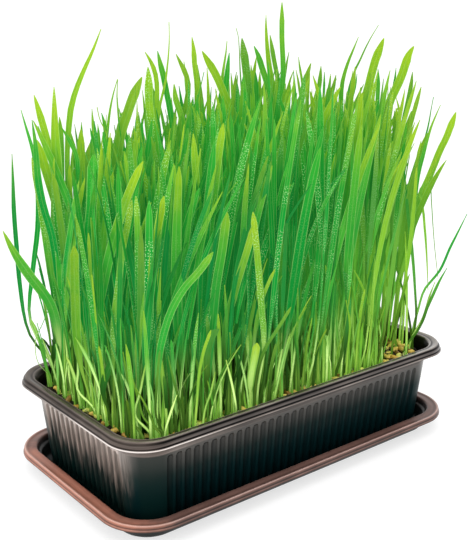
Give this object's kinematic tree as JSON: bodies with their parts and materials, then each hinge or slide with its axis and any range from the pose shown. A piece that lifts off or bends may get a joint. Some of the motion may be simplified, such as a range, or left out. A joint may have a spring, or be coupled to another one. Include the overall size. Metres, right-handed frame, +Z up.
{
  "type": "wheatgrass tray",
  "caption": "Ribbed rectangular grow tray of soil and sprouted grain, packed with tall upright wheatgrass blades, standing in a shallow drip saucer.",
  "frame": {"origin": "middle of the saucer's flat underside, on the surface that the object stands on", "axes": "+Z up, +X along the tray's long side, +Y across the tray; the long side that faces -Y is the front"},
  "size_m": [0.2243, 0.1202, 0.2189],
  "materials": {
    "terracotta_plastic": "satin",
    "taupe_plastic": "satin",
    "growing_medium": "matte",
    "grass": "satin"
  },
  "bodies": {
    "root": {"drip_saucer": "terracotta_plastic", "grow_tray": "taupe_plastic", "soil_bed": "growing_medium", "wheatgrass": "grass"}
  },
  "joints": []
}
